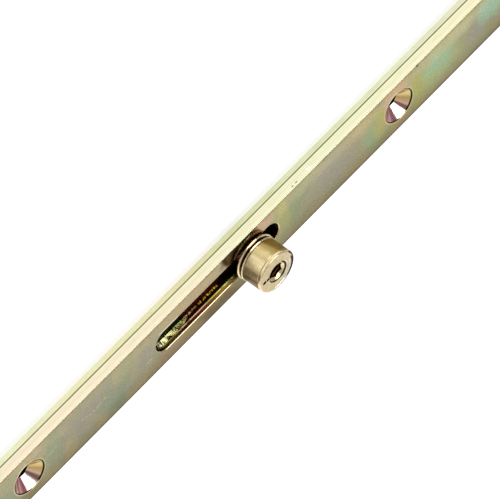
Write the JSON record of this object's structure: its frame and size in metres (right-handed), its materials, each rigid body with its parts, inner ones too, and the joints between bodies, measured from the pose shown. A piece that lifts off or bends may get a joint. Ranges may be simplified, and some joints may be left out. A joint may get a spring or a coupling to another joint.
{
  "type": "multipoint door lock",
  "caption": "Locking-point section of a multipoint door lock: slotted faceplate, sliding drive rod and an adjustable roller cam with a hex socket.",
  "frame": {"origin": "middle of the line between the two screw holes, on the faceplate's back face, which seats in the door", "axes": "+X along the faceplate, +Y across it, +Z out of its front face"},
  "size_m": [0.33, 0.016, 0.014],
  "materials": {
    "plate_steel": "yellow passivated zinc on steel strip",
    "rod_steel": "yellow passivated zinc on steel strip",
    "pin_steel": "turned, yellow passivated zinc",
    "roller_steel": "turned, yellow passivated zinc",
    "ring_steel": "turned, yellow passivated zinc",
    "collar_steel": "turned, yellow passivated zinc",
    "spring_steel": "hardened, oiled",
    "stud_steel": "yellow passivated zinc, peened",
    "bush_nylon": "moulded nylon"
  },
  "bodies": {
    "plate": {"faceplate": "plate_steel", "guide_studs": "stud_steel", "guide_bushes": "bush_nylon"},
    "rod": {"drive_rod": "rod_steel", "disc_spring": "spring_steel"},
    "cam": {"cam_pin": "pin_steel", "foot_collar": "collar_steel", "thrust_ring": "ring_steel"},
    "sleeve": {"roller": "roller_steel"}
  },
  "joints": [
    {"name": "rod_slide", "type": "slide", "parent": "plate", "child": "rod", "axis": [1, 0, 0], "range_m": [-0.02935, 0.00595]},
    {"name": "cam_adjust", "type": "hinge", "parent": "rod", "child": "cam", "pos_m": [0.0117, 0, 0], "axis": [0, 0, 1], "continuous": true},
    {"name": "roller_spin", "type": "hinge", "parent": "cam", "child": "sleeve", "pos_m": [0.01193, -0.00087, 0], "axis": [0, 0, 1], "continuous": true}
  ]
}
